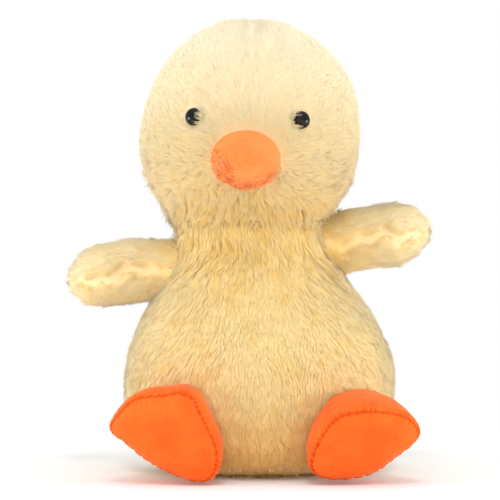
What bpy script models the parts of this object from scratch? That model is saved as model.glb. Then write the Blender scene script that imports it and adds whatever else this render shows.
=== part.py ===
"""Plush duck, about 27 cm tall, sitting on its flat base with its feet out in front.

Lengths are in metres and +Z is up. The duck looks along -Y and sits on the plane Z = 0, with the
middle of its base at the origin. Angles called turn go round a vertical axis from the front
towards +X. A cover is a set of cloth panels with a small gap at each seam, and the filling lies
inside it. The head is a ball that sits in a cup in the top of the body.
"""

import math

import bmesh
import bpy
import numpy as np
from mathutils import Euler, Vector

mm = 0.001

# Cloth and clearances
fur_thickness = 7.0 * mm
velour_thickness = 1.8 * mm
layer_gap = 0.4 * mm
seam_gap = 0.3 * mm
seat_gap = 0.4 * mm
cut_overrun = 6.0 * mm

# Body
neck_height = 148.0 * mm
body_half_width = 82.0 * mm
body_half_depth = 70.0 * mm
neck_radius = 46.5 * mm
base_half_width = 46.0 * mm
pellet_bag_half_width = 40.0 * mm
pellet_bag_half_depth = 33.0 * mm
pellet_bag_height = 24.0 * mm
bag_edge_shares = [(0.93, 0.0), (1.0, 0.22), (0.96, 0.5), (0.8, 0.78), (0.5, 0.95)]
body_swell_shares = [
    (0.0, 0.0), (0.025, 0.38), (0.06, 0.63), (0.14, 0.87), (0.25, 0.975), (0.352, 1.0),
    (0.45, 0.965), (0.514, 0.89), (0.58, 0.77), (0.644, 0.64), (0.71, 0.47),
    (0.773, 0.3), (0.84, 0.15), (0.9, 0.05), (1.0, 0.0),
]
side_seam_turn = math.radians(80.0)
body_lean_power = 3
body_row_shares = [0.0, 0.025, 0.06, 0.11, 0.18, 0.27, 0.37, 0.47, 0.56, 0.65, 0.74, 0.83, 0.91, 1.0]

# Head
head_radius = 66.6 * mm
head_crown = 71.4 * mm
head_rise = 53.0 * mm
head_centre_height = neck_height + head_rise
head_lean = 6.0 * mm
head_tilt = math.radians(1.7)
head_yaw = math.radians(-1.8)
head_opening_radius = 9.0 * mm
cup_gap = 0.8 * mm
cup_row_shares = [0.8, 0.55, 0.28]
neck_thread_radius = 0.6 * mm

# Eyes
eye_radius = 5.25 * mm
eye_dome = 4.2 * mm
eye_proud = 1.9 * mm
eye_rim_share = 0.12
eye_dome_lifts = np.radians([0.0, 24.0, 46.0, 68.0])
eye_spread = 32.3 * mm
eye_height = 11.0 * mm
shank_radius = 1.6 * mm
shank_length = 9.5 * mm
washer_radius = 6.5 * mm
washer_thickness = 1.2 * mm
fit_gap = 0.3 * mm

# Beak
beak_half_width = 20.6 * mm
beak_half_height = 17.0 * mm
beak_drop = 13.0 * mm
beak_reach = 26.0 * mm
beak_tip_drop = 9.5 * mm
beak_fullness = 1.7
cone_row_shares = [0.0, 0.22, 0.42, 0.6, 0.75, 0.87, 0.955, 1.0]
base_cap_shares = [0.0, 0.4, 0.75]

# Tail
tail_half_width = 21.0 * mm
tail_half_height = 14.0 * mm
tail_height = 47.0 * mm
tail_reach = 24.0 * mm
tail_rise = 10.0 * mm
tail_fullness = 1.5
tail_fur_thickness = 5.0 * mm

# Wings
wing_length = 59.8 * mm
wing_half_height = 19.5 * mm
wing_half_depth = 25.0 * mm
wing_root_drop = {"left": 25.5 * mm, "right": 10.0 * mm}
wing_rest = {"left": math.radians(-5.0), "right": math.radians(5.0)}
wing_highest = math.radians(20.0)
wing_lowest = math.radians(-20.0)
swing_margin = math.radians(4.0)
swing_reach_share = 1.3
wing_height_shares = [
    (0.0, 0.86), (0.3, 0.95), (0.6, 1.0), (0.8, 0.9), (0.92, 0.66), (0.98, 0.36), (1.0, 0.0),
]
wing_depth_shares = [
    (0.0, 0.7), (0.25, 0.86), (0.55, 1.0), (0.78, 0.94), (0.92, 0.7), (0.98, 0.38), (1.0, 0.0),
]
wing_row_shares = [0.0, 0.14, 0.3, 0.47, 0.63, 0.77, 0.88, 0.95, 0.985, 1.0]

# Feet
foot_half_width = 31.0 * mm
foot_half_height = 27.2 * mm
foot_depth = 50.0 * mm
sole_dome = 5.0 * mm
foot_spread = 57.8 * mm
feet_shift = 2.2 * mm
foot_seam_front = 84.0 * mm
foot_centre_height = {"left": 27.8 * mm, "right": 22.6 * mm}
foot_yaw = math.radians(12.0)
foot_pitch = {"left": math.radians(13.0), "right": math.radians(24.0)}
foot_hinge_front = 50.0 * mm
foot_hinge_height = 10.0 * mm
foot_outline_shares = {
    "left": [
        (-0.99, 0.22), (-0.84, 0.48), (-0.68, 0.67), (-0.53, 0.81), (-0.29, 0.89), (0.09, 0.93),
        (0.34, 0.98), (0.58, 0.86), (0.7, 0.56), (0.86, 0.14), (0.97, -0.24), (0.95, -0.64),
        (0.79, -0.9), (0.55, -0.94), (0.23, -0.85), (-0.14, -0.65), (-0.45, -0.42), (-0.75, -0.12),
        (-0.94, 0.05),
    ],
    "right": [
        (1.0, 0.31), (0.8, 0.62), (0.48, 0.77), (0.08, 0.83), (-0.26, 0.8), (-0.54, 0.71),
        (-0.75, 0.42), (-0.91, 0.0), (-0.96, -0.41), (-0.78, -0.68), (-0.34, -0.77), (0.2, -0.64),
        (0.65, -0.25), (0.92, 0.05),
    ],
}
foot_section_shares = [(0.0, 1.0), (0.08, 1.03), (0.25, 1.0), (0.45, 0.9), (0.7, 0.72), (1.0, 0.48)]
foot_row_shares = [0.0, 0.1, 0.25, 0.45, 0.7, 1.0]
sole_row_shares = [0.0, 0.35, 0.7, 0.9, 1.0]

# Facets
head_columns = 28
body_columns = 36
wing_columns = 16
foot_columns = 24
beak_columns = 20
tail_columns = 16
turned_columns = 16
bag_columns = 24
thread_columns = 36
strand_columns = 6
head_rows = 14
slope_samples = 12

# Small values of the method
merge_share = 0.01
sharp_angle = math.radians(35.0)
normal_step = 1e-4


def plain_material(name, colour, roughness):
    """A material of one colour, given as linear red, green and blue."""
    material = bpy.data.materials.new(name)
    material.use_nodes = True
    shader = material.node_tree.nodes["Principled BSDF"]
    shader.inputs["Base Color"].default_value = (*colour, 1.0)
    shader.inputs["Roughness"].default_value = roughness
    shader.inputs["Metallic"].default_value = 0.0
    return material


def joint_empty(name, place, rotation=(0.0, 0.0, 0.0)):
    """An empty on a joint's axis, which carries every piece that moves with it."""
    empty = bpy.data.objects.new(name, None)
    empty.location = place
    empty.rotation_euler = rotation
    bpy.context.collection.objects.link(empty)
    return empty


def add_piece(name, mesh_data, material, parent=None):
    """Closes the doubled points at poles, turns the faces outwards and links the mesh as a piece."""
    bmesh.ops.remove_doubles(mesh_data, verts=mesh_data.verts, dist=seam_gap * merge_share)
    bmesh.ops.recalc_face_normals(mesh_data, faces=mesh_data.faces)
    mesh = bpy.data.meshes.new(name)
    mesh_data.to_mesh(mesh)
    mesh_data.free()
    mesh.materials.append(material)
    mesh.shade_smooth()
    mesh.set_sharp_from_angle(angle=sharp_angle)
    piece = bpy.data.objects.new(name, mesh)
    piece.parent = parent
    bpy.context.collection.objects.link(piece)
    return piece


def through(rows):
    """A smooth curve through (place, value) rows. Its slope at a row is the harmonic mean of the
    slopes beside it, or zero at a peak, so it never swings past a row."""
    places, values = np.array(rows, float).T
    slopes = np.diff(values) / np.diff(places)
    before, after = slopes[:-1], slopes[1:]
    same_way = before * after > 0
    total = np.where(same_way, before + after, 1.0)
    middle = np.where(same_way, 2 * before * after / total, 0.0)
    tangents = np.concatenate([slopes[:1], middle, slopes[-1:]])

    def curve(place):
        place = np.asarray(place, float)
        piece = np.clip(np.searchsorted(places, place) - 1, 0, len(slopes) - 1)
        width = places[piece + 1] - places[piece]
        part = (place - places[piece]) / width
        start, end = values[piece], values[piece + 1]
        out, back = tangents[piece] * width, tangents[piece + 1] * width
        cubic = 2 * start - 2 * end + out + back
        square = 3 * end - 3 * start - 2 * out - back
        return ((cubic * part + square) * part + out) * part + start

    return curve


def inset(surface, depth):
    """The surface moved inwards along its own normals, which come from small steps both ways."""
    def inner(turn, share):
        step = normal_step
        across = surface(turn + step, share) - surface(turn - step, share)
        along = surface(turn, share + step) - surface(turn, share - step)
        normal = np.cross(across, along)
        normal /= np.linalg.norm(normal, axis=-1, keepdims=True)
        return surface(turn, share) - depth * normal

    return inner


def grid(surface, turns, shares):
    """Rows of points of a surface, one for each share."""
    turn_grid, share_grid = np.meshgrid(turns, shares)
    return surface(turn_grid, share_grid)


def rings_solid(name, rings, material, parent=None, joined_ends=False):
    """A closed solid lofted through rings of points. A ring of one point is a pole. Open ends are
    filled flat, unless the last ring joins the first."""
    data = bmesh.new()
    loops = [[data.verts.new(point) for point in np.atleast_2d(ring)] for ring in rings]
    pairs = list(zip(loops, loops[1:]))
    if joined_ends:
        pairs.append((loops[-1], loops[0]))
    for near, far in pairs:
        count = max(len(near), len(far))
        for i in range(count):
            j = (i + 1) % count
            if len(near) == 1:
                data.faces.new((near[0], far[j], far[i]))
            elif len(far) == 1:
                data.faces.new((near[i], near[j], far[0]))
            else:
                data.faces.new((near[i], near[j], far[j], far[i]))
    if not joined_ends:
        for loop in (loops[0], loops[-1]):
            if len(loop) > 1:
                data.faces.new(loop)
    return add_piece(name, data, material, parent)


def cloth_panel(name, outer, inner, move, material, parent=None):
    """A closed piece of cloth between two grids of points, moved a little off its seams."""
    data = bmesh.new()
    shift = np.array(move)
    rows, columns = outer.shape[:2]
    top = [[data.verts.new(p) for p in row] for row in outer + shift]
    under = [[data.verts.new(p) for p in row] for row in inner + shift]
    for i in range(rows - 1):
        for j in range(columns - 1):
            data.faces.new((top[i][j], top[i][j + 1], top[i + 1][j + 1], top[i + 1][j]))
            data.faces.new((under[i][j], under[i + 1][j], under[i + 1][j + 1], under[i][j + 1]))
    edge = [(0, j) for j in range(columns)]
    edge += [(i, columns - 1) for i in range(1, rows)]
    edge += [(rows - 1, j) for j in range(columns - 2, -1, -1)]
    edge += [(i, 0) for i in range(rows - 2, 0, -1)]
    for (i, j), (k, m) in zip(edge, edge[1:] + edge[:1]):
        data.faces.new((top[i][j], under[i][j], under[k][m], top[k][m]))
    return add_piece(name, data, material, parent)


def off_seams(first_turn, last_turn):
    """The move that takes both edges of a panel half a seam gap off its seams."""
    middle = (first_turn + last_turn) / 2
    reach = seam_gap / 2 / math.sin((last_turn - first_turn) / 2)
    return (reach * math.sin(middle), -reach * math.cos(middle), 0.0)


def turned(name, profile, material, parent, columns):
    """A solid turned about Z from (radius, height) rows. A row of no radius is a pole."""
    angles = full_turns(columns)
    rings = []
    for radius, height in profile:
        if radius == 0:
            rings.append(np.array([0.0, 0.0, height]))
        else:
            rings.append(level_ring(angles, radius, height))
    return rings_solid(name, rings, material, parent)


def level_ring(angles, radius, height):
    """A level ring of points about Z."""
    return np.stack([radius * np.cos(angles), radius * np.sin(angles), 0 * angles + height], axis=-1)


def cut(piece, cutter):
    """Cuts one solid out of another with an exact Boolean, and keeps the cutter out of the model."""
    modifier = piece.modifiers.new("cut by " + cutter.name, "BOOLEAN")
    modifier.operation = "DIFFERENCE"
    modifier.solver = "EXACT"
    modifier.object = cutter
    cutter.hide_render = True
    cutter.display_type = "WIRE"


def full_turns(columns):
    """Turns of a full ring of points."""
    return np.linspace(0, 2 * math.pi, columns, endpoint=False)


def part_turns(first, last, columns):
    """Turns of a panel, a whole number of the columns that a full turn has."""
    count = round(columns * (last - first) / (2 * math.pi))
    return np.linspace(first, last, count + 1)


# Body form
belly_ratio = body_half_depth / body_half_width
body_swell = through(body_swell_shares)


def body_half_widths(share):
    """Half width of the body at a share of the neck's height: a straight taper from base to neck,
    plus a swell that is nothing at both ends and all of the belly at its widest."""
    widest = max(body_swell_shares, key=lambda row: row[1])[0]
    taper = base_half_width + (neck_radius - base_half_width) * share
    taper_there = base_half_width + (neck_radius - base_half_width) * widest
    return taper + (body_half_width - taper_there) * body_swell(share)


def body_surface(turn, share):
    """Ellipses about a line that leans towards the head. They are round at the neck."""
    half_width = body_half_widths(share)
    ratio = belly_ratio + (1 - belly_ratio) * share ** body_lean_power
    x = half_width * np.sin(turn) - head_lean * share ** body_lean_power
    y = -half_width * ratio * np.cos(turn)
    return np.stack([x, y, neck_height * share + 0 * x], axis=-1)


def cup_height(radius):
    """Height of the cup's ball surface at a distance from the head's upright axis."""
    return head_centre_height - np.sqrt((head_radius + cup_gap) ** 2 - radius ** 2)


def meet_cup(ring):
    """Moves the top ring of an inner surface up or down onto the cup."""
    radius = np.hypot(ring[:, 0] + head_lean, ring[:, 1])
    return np.stack([ring[:, 0], ring[:, 1], cup_height(radius)], axis=-1)


def make_body(fur, filling, bag):
    """Three side panels, the base, the filling with the cup in its top, and the pellet bag."""
    back = math.pi
    spans = {
        "body_front_panel": (-side_seam_turn, side_seam_turn),
        "body_back_right_panel": (side_seam_turn, back),
        "body_back_left_panel": (back, 2 * back - side_seam_turn),
    }
    lining = inset(body_surface, fur_thickness)
    for name, (first, last) in spans.items():
        turns = part_turns(first, last, body_columns)
        outer = grid(body_surface, turns, body_row_shares)
        inner = grid(lining, turns, body_row_shares)
        inner[-1] = meet_cup(inner[-1])
        cloth_panel(name, outer, inner, off_seams(first, last), fur)

    turns = full_turns(body_columns)
    rim = grid(body_surface, turns, body_row_shares)[0]
    inner_rim = grid(lining, turns, body_row_shares)[0]
    shrink = 1 - (seam_gap + seam_gap / 2) / base_half_width
    flat = np.array([shrink, shrink, 1.0])
    rings_solid("base_panel", [rim * flat, inner_rim * flat], fur)

    core = inset(body_surface, fur_thickness + layer_gap)
    rows = list(grid(core, turns, body_row_shares))
    rows[-1] = meet_cup(rows[-1])
    axis = np.array([-head_lean, 0.0])
    for share in cup_row_shares:
        level = axis + (rows[len(body_row_shares) - 1][:, :2] - axis) * share
        rows.append(meet_cup(np.column_stack([level, 0 * level[:, 0]])))
    rows.append(np.array([-head_lean, 0.0, cup_height(0.0)]))
    body_filling = rings_solid("body_filling", rows, filling)

    floor = inner_rim[:, 2].max() + layer_gap
    pellet_bag = turned("pellet_bag", bag_profile(0.0), bag, None, bag_columns)
    pocket = turned("pellet_pocket", bag_profile(layer_gap), bag, None, bag_columns)
    for piece in (pellet_bag, pocket):
        squeeze(piece, pellet_bag_half_depth / pellet_bag_half_width)
        piece.location = (0.0, 0.0, floor)
    cut(body_filling, pocket)


def bag_profile(clearance):
    """A low dome with rounded edges, or with a clearance its pocket, which runs out below."""
    radius = pellet_bag_half_width + clearance
    height = pellet_bag_height + clearance
    floor = -cut_overrun if clearance else 0.0
    rows = [(radius * across, height * up if up else floor) for across, up in bag_edge_shares]
    return rows + [(0.0, height)]


def squeeze(piece, ratio):
    """Makes a turned piece oval, narrower along Y."""
    for vertex in piece.data.vertices:
        vertex.co.y *= ratio


# Head form
def head_surface(depth):
    """A ball below its middle, and a slightly taller half ellipsoid above it, a depth inside the
    head. Its share goes from the crown down. The centre is the head joint."""
    def surface(turn, share):
        down = np.pi * share
        upright = np.where(np.cos(down) > 0, head_crown, head_radius) - depth
        around = (head_radius - depth) * np.sin(down)
        return np.stack([around * np.sin(turn), -around * np.cos(turn), upright * np.cos(down)], axis=-1)

    return surface


def make_head(joint, fur, filling, thread, neck_joint):
    """Two face panels that meet on the middle line, one back panel, and the filling."""
    quarter = math.pi / 2
    spans = {
        "head_face_left_panel": (-quarter, 0.0),
        "head_face_right_panel": (0.0, quarter),
        "head_back_panel": (quarter, 3 * quarter),
    }
    last_share = 1 - math.asin(head_opening_radius / head_radius) / math.pi
    shares = np.linspace(0.0, last_share, head_rows)
    panels = {}
    for name, (first, last) in spans.items():
        turns = part_turns(first, last, head_columns)
        outer = grid(head_surface(0.0), turns, shares)
        inner = grid(head_surface(fur_thickness), turns, shares)
        panels[name] = cloth_panel(name, outer, inner, off_seams(first, last), fur, joint)

    core = grid(head_surface(fur_thickness + layer_gap), full_turns(head_columns), [*shares, 1.0])
    rings = [core[0][0], *core[1:-1], core[-1][0]]
    head_filling = rings_solid("head_filling", rings, filling, joint)

    reach = head_radius + seat_gap + neck_thread_radius
    drop = head_centre_height - neck_height - seat_gap - neck_thread_radius
    ring_radius = math.sqrt(reach ** 2 - drop ** 2)
    strand = full_turns(strand_columns)
    loops = []
    for turn in full_turns(thread_columns):
        away = ring_radius + neck_thread_radius * np.cos(strand)
        up = neck_thread_radius * np.sin(strand) - drop
        loops.append(np.stack([away * math.sin(turn), -away * math.cos(turn), up], axis=-1))
    rings_solid("neck_seam_thread", loops, thread, neck_joint, joined_ends=True)
    return panels, head_filling


def make_eyes(joint, panels, head_filling, eye_finish, washer_finish):
    """Domed safety eyes: each has a shank through the face panel and a washer pressed on behind."""
    base = eye_proud - eye_dome
    shank_end = base - shank_length
    inner_radius = head_radius - fur_thickness
    curve_sag = inner_radius - math.sqrt(inner_radius ** 2 - washer_radius ** 2)
    facet_sag = inner_radius * (1 - math.cos(math.pi / head_columns))
    washer_top = -fur_thickness - curve_sag - facet_sag - fit_gap
    washer_base = washer_top - washer_thickness
    rim = eye_dome * eye_rim_share
    dome = [
        (eye_radius * math.cos(lift), base + rim + (eye_dome - rim) * math.sin(lift))
        for lift in eye_dome_lifts
    ]
    eye_profile = [(shank_radius, shank_end), (shank_radius, base), (eye_radius - rim / 2, base)]
    eye_profile += dome + [(0.0, eye_proud)]
    pocket_profile = [
        (shank_radius + fit_gap, -fur_thickness - cut_overrun),
        (shank_radius + fit_gap, base - fit_gap),
        (eye_radius + fit_gap, base - fit_gap),
        (eye_radius + fit_gap, cut_overrun),
    ]
    well_profile = [
        (shank_radius + fit_gap, shank_end - fit_gap),
        (shank_radius + fit_gap, washer_base - fit_gap),
        (washer_radius + fit_gap, washer_base - fit_gap),
        (washer_radius + fit_gap, cut_overrun),
    ]
    for side, sign in (("left", -1), ("right", 1)):
        front = math.sqrt(1 - (eye_spread / head_radius) ** 2 - (eye_height / head_crown) ** 2)
        place = Vector((sign * eye_spread, -head_radius * front, eye_height))
        outwards = Vector((place.x / head_radius ** 2, place.y / head_radius ** 2, place.z / head_crown ** 2))
        facing = outwards.to_track_quat("Z", "Y").to_euler()
        eye = turned(f"eye_{side}", eye_profile, eye_finish, joint, turned_columns)
        pocket = turned(f"eye_pocket_{side}", pocket_profile, eye_finish, joint, turned_columns)
        well = turned(f"washer_well_{side}", well_profile, eye_finish, joint, turned_columns)
        washer = washer_ring(f"eye_washer_{side}", washer_base, washer_top, washer_finish, joint)
        for piece in (eye, pocket, well, washer):
            piece.location = place
            piece.rotation_euler = facing
        cut(panels[f"head_face_{side}_panel"], pocket)
        cut(head_filling, well)


def washer_ring(name, base, top, material, joint):
    """A flat washer that grips the eye's shank."""
    angles = full_turns(turned_columns)
    bore = shank_radius + fit_gap / 2
    corners = ((bore, base), (washer_radius, base), (washer_radius, top), (bore, top))
    rings = [level_ring(angles, radius, height) for radius, height in corners]
    return rings_solid(name, rings, material, joint, joined_ends=True)


halves = {"upper": (0.0, math.pi, seam_gap / 2), "lower": (math.pi, 2 * math.pi, -seam_gap / 2)}


def rounded_cone(fullness, share):
    """Half width of a blunt cone, as a share of its half width at the base."""
    return np.clip(1 - np.clip(share, 0, 1) ** fullness, 0, 1) ** (1 / fullness)


def seated_cone(name, form, seat, thickness, columns, looks, parent):
    """A blunt cone sewn onto a curved surface: an upper and a lower panel and their filling. form
    gives its surface at a depth inside the cone, and seat the surface that it stands on."""
    cloth, filling = looks
    for half, (first, last, lift) in halves.items():
        turns = part_turns(first, last, columns)
        outer = grid(form(0.0), turns, cone_row_shares)
        inner = grid(form(thickness), turns, cone_row_shares)
        cloth_panel(f"{name}_{half}_panel", outer, inner, (0.0, 0.0, lift), cloth, parent)
    core = grid(form(thickness + layer_gap), full_turns(columns), cone_row_shares)
    middle = core[0].mean(axis=0)
    cap = [seat(middle + (core[0] - middle) * share) for share in base_cap_shares]
    rings_solid(f"{name}_filling", [cap[0][0], *cap[1:], *core[:-1], core[-1][0]], filling, parent)


def make_beak(joint, velour, filling):
    """A stubby cone on the face, drooping a little, with its mouth seam along both sides."""
    def seat(points):
        flat = head_radius + seat_gap
        above = points[..., 2] > 0
        level = np.where(above, points[..., 2] * head_radius / head_crown, points[..., 2])
        front = -np.sqrt(flat ** 2 - points[..., 0] ** 2 - level ** 2)
        return np.stack([points[..., 0], front, points[..., 2]], axis=-1)

    def form(depth):
        def surface(turn, share):
            width = rounded_cone(beak_fullness, share)
            x = (beak_half_width - depth) * width * np.cos(turn)
            z = (beak_half_height - depth) * width * np.sin(turn) - beak_drop
            base = seat(np.stack([x, 0 * x, z], axis=-1))[..., 1]
            tip = depth - head_radius - beak_reach
            return np.stack([x, base + (tip - base) * share, z - beak_tip_drop * share * share], axis=-1)

        return surface

    seated_cone("beak", form, seat, velour_thickness, beak_columns, (velour, filling), joint)


def make_tail(fur, filling):
    """A short upturned tail on the middle of the back."""
    def seat(points):
        share = np.clip(points[..., 2] / neck_height, 0, 1)
        half_width = body_half_widths(share) + seat_gap
        ratio = belly_ratio + (1 - belly_ratio) * share ** body_lean_power
        across = (points[..., 0] + head_lean * share ** body_lean_power) / half_width
        back = half_width * ratio * np.sqrt(1 - across ** 2)
        return np.stack([points[..., 0], back, points[..., 2]], axis=-1)

    def form(depth):
        def surface(turn, share):
            width = rounded_cone(tail_fullness, share)
            x = (tail_half_width - depth) * width * np.cos(turn)
            z = (tail_half_height - depth) * width * np.sin(turn) + tail_height
            base = seat(np.stack([x, 0 * x, z], axis=-1))[..., 1]
            tip = body_half_depth + tail_reach - depth
            return np.stack([x, base + (tip - base) * share, z + tail_rise * share * share], axis=-1)

        return surface

    seated_cone("tail", form, seat, tail_fur_thickness, tail_columns, (fur, filling), None)


# Wing form
wing_heights = through(wing_height_shares)
wing_depths = through(wing_depth_shares)


def steepest_lean(root_height, reach):
    """Steepest outward slope, seen from a wing's root, of the body or the head within a reach above
    it, or below it where the reach is negative."""
    heights = root_height + reach * np.linspace(0.0, 1.0, slope_samples + 1)[1:]
    shares = heights / neck_height
    body = np.where(shares <= 1, body_half_widths(np.minimum(shares, 1)), 0.0)
    head = np.sqrt(np.maximum(head_radius ** 2 - (heights - head_centre_height) ** 2, 0.0))
    out = np.maximum(body, head) - body_half_widths(root_height / neck_height)
    return float(np.max(np.arctan2(out, np.abs(heights - root_height))))


def root_slants(root_height):
    """How far the root leans out above and below the hinge, to clear the body and the head when the
    wing is at its highest and lowest."""
    reach = wing_half_height * swing_reach_share
    above = steepest_lean(root_height, reach) + wing_highest + swing_margin
    below = steepest_lean(root_height, -reach) - wing_lowest + swing_margin
    return max(0.0, above), below


def make_wing(side, sign, fur, filling):
    """A flat paddle with a seam round its edge. It hangs on a hinge line along its sewn root, and
    local +X runs out to its tip."""
    root_height = neck_height - wing_root_drop[side]
    root_share = root_height / neck_height
    lean = head_lean * root_share ** body_lean_power
    root = sign * (body_half_widths(root_share) + seat_gap) - lean
    joint = joint_empty(f"wing_{side}_hinge", (root, 0.0, root_height), (0.0, -sign * wing_rest[side], 0.0))
    above, below = root_slants(root_height)

    def slant(z):
        return np.where(z > 0, z * math.tan(above), -z * math.tan(below))

    def form(depth):
        def surface(turn, share):
            y = (wing_half_depth - depth) * wing_depths(share) * np.cos(turn)
            z = (wing_half_height - depth) * wing_heights(share) * np.sin(turn)
            x = (wing_length - depth) * share + slant(z) * (1 - share) ** 2
            return np.stack([sign * x, y, z], axis=-1)

        return surface

    for half, (first, last, lift) in halves.items():
        turns = part_turns(first, last, wing_columns)
        outer = grid(form(0.0), turns, wing_row_shares)
        inner = grid(form(fur_thickness), turns, wing_row_shares)
        cloth_panel(f"wing_{side}_{half}_panel", outer, inner, (0.0, 0.0, lift), fur, joint)
    core = grid(form(fur_thickness + layer_gap), full_turns(wing_columns), wing_row_shares)
    rings_solid(f"wing_{side}_filling", [np.zeros(3), *core[:-1], core[-1][0]], filling, joint)


# Foot form
foot_sections = through(foot_section_shares)


def closed_curve(points):
    """A smooth closed curve through points, by Catmull-Rom cubics. Its parameter is one full turn."""
    points = np.array(points, float)
    count = len(points)

    def curve(turn):
        place = np.mod(turn / (2 * np.pi), 1.0) * count
        first = np.floor(place).astype(int)
        part = (place - first)[..., None]
        a, b, c, d = (points[(first + k) % count] for k in (-1, 0, 1, 2))
        square = 2 * a - 5 * b + 4 * c - d
        cubic = 3 * b - a - 3 * c + d
        return b + part / 2 * (c - a + part * (square + part * cubic))

    return curve


def make_foot(side, sign, velour, filling, body_cutter):
    """A thick webbed foot that shows its sole: the domed sole, the upper round its back, and the
    filling. The body's outer surface cuts its back. Local +Y runs back from the sole's seam."""
    hinge = Vector((sign * foot_spread + feet_shift, -foot_hinge_front, foot_hinge_height))
    centre = Vector((sign * foot_spread + feet_shift, -foot_seam_front, foot_centre_height[side]))
    pose = Euler((foot_pitch[side], 0.0, sign * foot_yaw))
    joint = joint_empty(f"foot_{side}_hinge", hinge, pose)
    offset = np.array(pose.to_matrix().inverted() @ (centre - hinge))
    outline = closed_curve(foot_outline_shares[side])

    def shell(depth):
        """The upper's surface, from the sole's seam at share 0 back into the body."""
        def surface(turn, share):
            shape = outline(turn) * foot_sections(share)[..., None]
            x = (foot_half_width - depth) * shape[..., 0]
            z = (foot_half_height - depth) * shape[..., 1]
            return np.stack([x, foot_depth * share, z], axis=-1)

        return surface

    def dome(depth):
        """The sole's surface, from its middle at share 0 to the seam at share 1."""
        def surface(turn, share):
            edge = shell(depth)(turn, 0 * share)
            rise = depth - sole_dome * (1 - share ** 3)
            return np.stack([edge[..., 0] * share, rise, edge[..., 2] * share], axis=-1)

        return surface

    turns = full_turns(foot_columns)
    half_gap = np.array([0.0, seam_gap / 2, 0.0])
    outer_sole = grid(dome(0.0), turns, sole_row_shares)
    inner_sole = grid(dome(velour_thickness), turns, sole_row_shares)
    sole_rings = [outer_sole[0][0], *outer_sole[1:], *inner_sole[:0:-1], inner_sole[0][0]]
    rings_solid(f"foot_{side}_sole_panel", [ring + offset - half_gap for ring in sole_rings], velour, joint)

    outer_shell = grid(shell(0.0), turns, foot_row_shares)
    inner_shell = grid(shell(velour_thickness), turns, foot_row_shares)
    inner_shell[0] = inner_sole[-1]
    upper_rings = [ring + offset + half_gap for ring in [*outer_shell, *inner_shell[::-1]]]
    upper = rings_solid(f"foot_{side}_upper_panel", upper_rings, velour, joint, joined_ends=True)

    core_sole = grid(dome(velour_thickness + layer_gap), turns, sole_row_shares)
    core = grid(shell(velour_thickness + layer_gap), turns, foot_row_shares)
    core_rings = [core_sole[0][0], *core_sole[1:], *core[1:]]
    foot_filling = rings_solid(f"foot_{side}_filling", [ring + offset for ring in core_rings], filling, joint)
    cut(upper, body_cutter)
    cut(foot_filling, body_cutter)


def body_cutting_form(material):
    """The body's whole outer form, a seat gap larger, which cuts whatever is sewn against it."""
    rows = grid(inset(body_surface, -seat_gap), full_turns(body_columns), body_row_shares)
    cutter = rings_solid("body_form_cutter", list(rows), material)
    cutter.hide_render = True
    cutter.display_type = "WIRE"
    return cutter


for old in list(bpy.data.objects):
    bpy.data.objects.remove(old, do_unlink=True)

fur = plain_material("pale yellow plush fur", (0.90, 0.72, 0.40), 0.95)
velour = plain_material("orange velour", (0.95, 0.20, 0.03), 0.85)
filling = plain_material("white polyester filling", (0.86, 0.86, 0.84), 0.95)
pellets = plain_material("grey cotton pellet bag", (0.55, 0.54, 0.50), 0.9)
eye_finish = plain_material("glossy black plastic", (0.010, 0.009, 0.010), 0.08)
washer_finish = plain_material("white plastic washer", (0.80, 0.80, 0.78), 0.45)
thread = plain_material("cream sewing thread", (0.86, 0.72, 0.46), 0.8)

make_body(fur, filling, pellets)
make_tail(fur, filling)

head_place = (-head_lean, 0.0, head_centre_height)
turn_joint = joint_empty("head_turn_axis", head_place)
nod_joint = joint_empty("head_nod_axis", head_place, (0.0, head_tilt, head_yaw))
face_panels, head_core = make_head(nod_joint, fur, filling, thread, turn_joint)
make_eyes(nod_joint, face_panels, head_core, eye_finish, washer_finish)
make_beak(nod_joint, velour, filling)

cutter = body_cutting_form(fur)
for side, sign in (("left", -1), ("right", 1)):
    make_wing(side, sign, fur, filling)
    make_foot(side, sign, velour, filling, cutter)
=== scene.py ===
"""Looks of the plush duck: pale yellow pile over stuffed cloth forms, orange velour beak and feet,
and glossy eyes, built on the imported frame. Lengths are in metres, +Z is up and the duck looks
along -Y. Angles called turn go round a piece, and a share runs from 0 to 1 along it."""

import functools
import math

import bpy
import numpy as np
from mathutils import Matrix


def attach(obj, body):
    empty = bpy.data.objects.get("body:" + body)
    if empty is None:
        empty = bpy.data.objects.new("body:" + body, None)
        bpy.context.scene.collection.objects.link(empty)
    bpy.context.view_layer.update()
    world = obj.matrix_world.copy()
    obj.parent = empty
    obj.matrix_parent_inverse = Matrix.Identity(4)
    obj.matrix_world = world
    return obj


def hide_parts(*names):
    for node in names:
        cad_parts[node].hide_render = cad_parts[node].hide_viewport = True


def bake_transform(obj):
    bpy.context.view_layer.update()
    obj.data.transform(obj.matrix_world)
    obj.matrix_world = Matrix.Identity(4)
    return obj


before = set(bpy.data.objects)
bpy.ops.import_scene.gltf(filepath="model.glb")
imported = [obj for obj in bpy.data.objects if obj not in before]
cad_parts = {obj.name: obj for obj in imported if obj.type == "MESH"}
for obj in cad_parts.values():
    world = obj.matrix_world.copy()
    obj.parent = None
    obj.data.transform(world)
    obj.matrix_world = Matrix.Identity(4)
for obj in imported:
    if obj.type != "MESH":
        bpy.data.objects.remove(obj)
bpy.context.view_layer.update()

# Body
# A pear-shaped sack of knitted plush, sewn from a front and two back panels round a flat base and
# stuffed with fibre. Its top is drawn in round the neck and makes a cup for the ball of the head.
mm = 0.001
full_turn = 2 * math.pi
scene = bpy.context.scene
neck_height = 148 * mm
neck_half_width = 46 * mm
belly_swell = 36 * mm
belly_ratio = 70 / 82
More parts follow.
